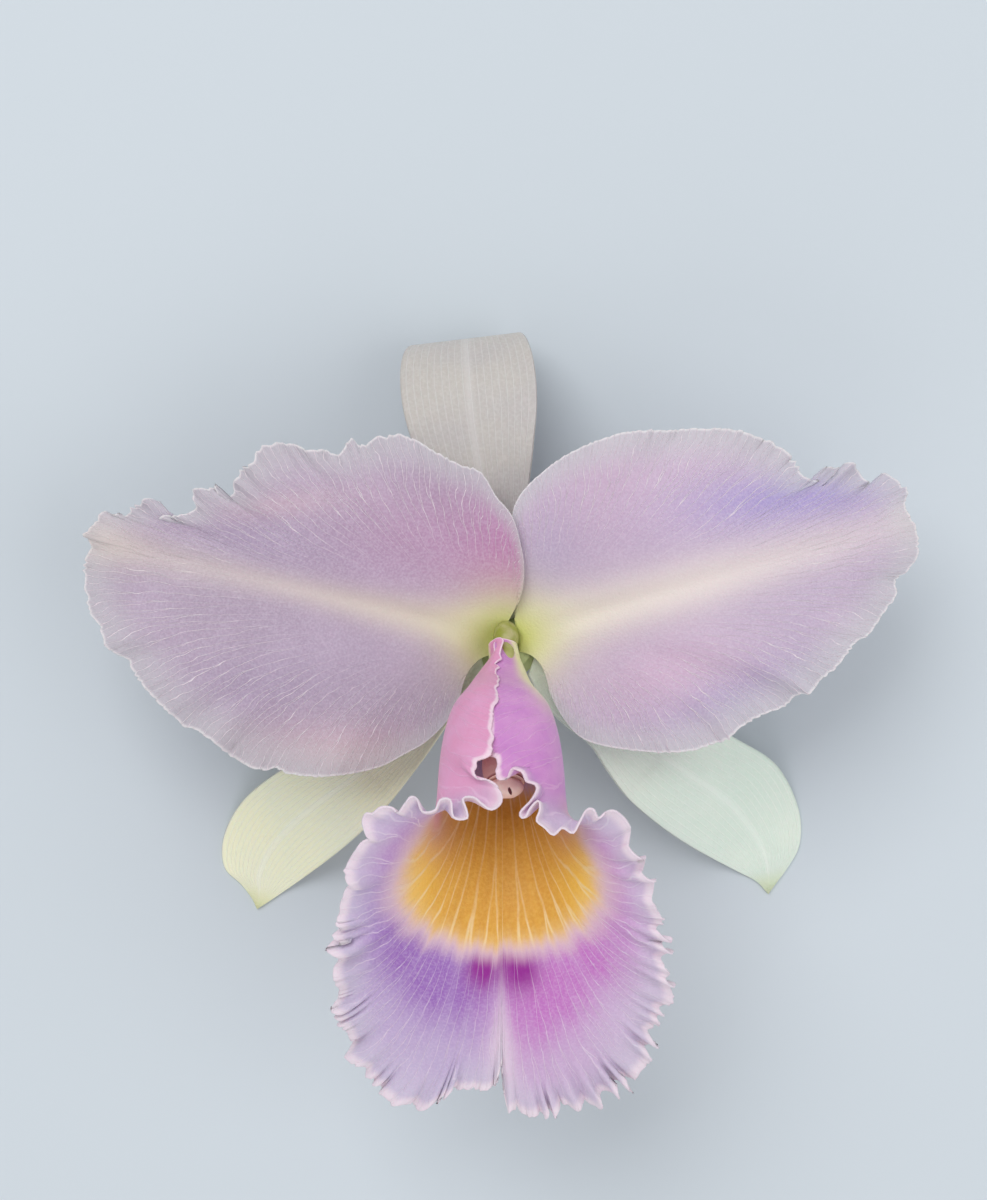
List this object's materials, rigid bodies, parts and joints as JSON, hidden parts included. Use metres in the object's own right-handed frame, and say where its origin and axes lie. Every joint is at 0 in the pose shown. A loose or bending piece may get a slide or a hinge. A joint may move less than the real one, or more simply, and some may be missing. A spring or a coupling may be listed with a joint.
{
  "type": "cattleya orchid bloom",
  "caption": "Single cattleya orchid flower as picked, resting on its back with its face up: broad frilled petals, narrow sepals, and a large ruffled lip rolled round the column.",
  "frame": {"origin": "centre of the bounding box, at the surface that the bloom rests on", "axes": "+Z the way the flower's face looks, up off the surface; +Y towards the dorsal sepal; -Y towards the lip; +X towards the right petal as seen from the front"},
  "size_m": [0.177, 0.1668, 0.0784],
  "materials": {
    "petal_left": "satin, lilac petal with pale veins, cream midrib and yellow-green base",
    "petal_right": "satin, lilac petal with pale veins, cream midrib and yellow-green base",
    "sepal_dorsal": "satin, greyish white sepal flushed lilac, with fine lengthwise veins",
    "sepal_left": "satin, greenish cream sepal with fine lengthwise veins",
    "sepal_right": "satin, greenish cream sepal with fine lengthwise veins",
    "lip": "satin, pink tube, orange-yellow throat with pale veins, magenta-purple disc and whitish frill",
    "column": "satin, waxy, yellow-green at its foot and pinkish tan at its tip",
    "anther_cap": "satin, waxy, pinkish tan",
    "ovary_and_stalk": "satin, waxy green"
  },
  "bodies": {
    "root": {"petal_left": "petal_left", "petal_right": "petal_right", "sepal_dorsal": "sepal_dorsal", "sepal_left": "sepal_left", "sepal_right": "sepal_right", "lip": "lip", "column": "column", "anther_cap": "anther_cap", "ovary_and_stalk": "ovary_and_stalk"}
  },
  "joints": []
}
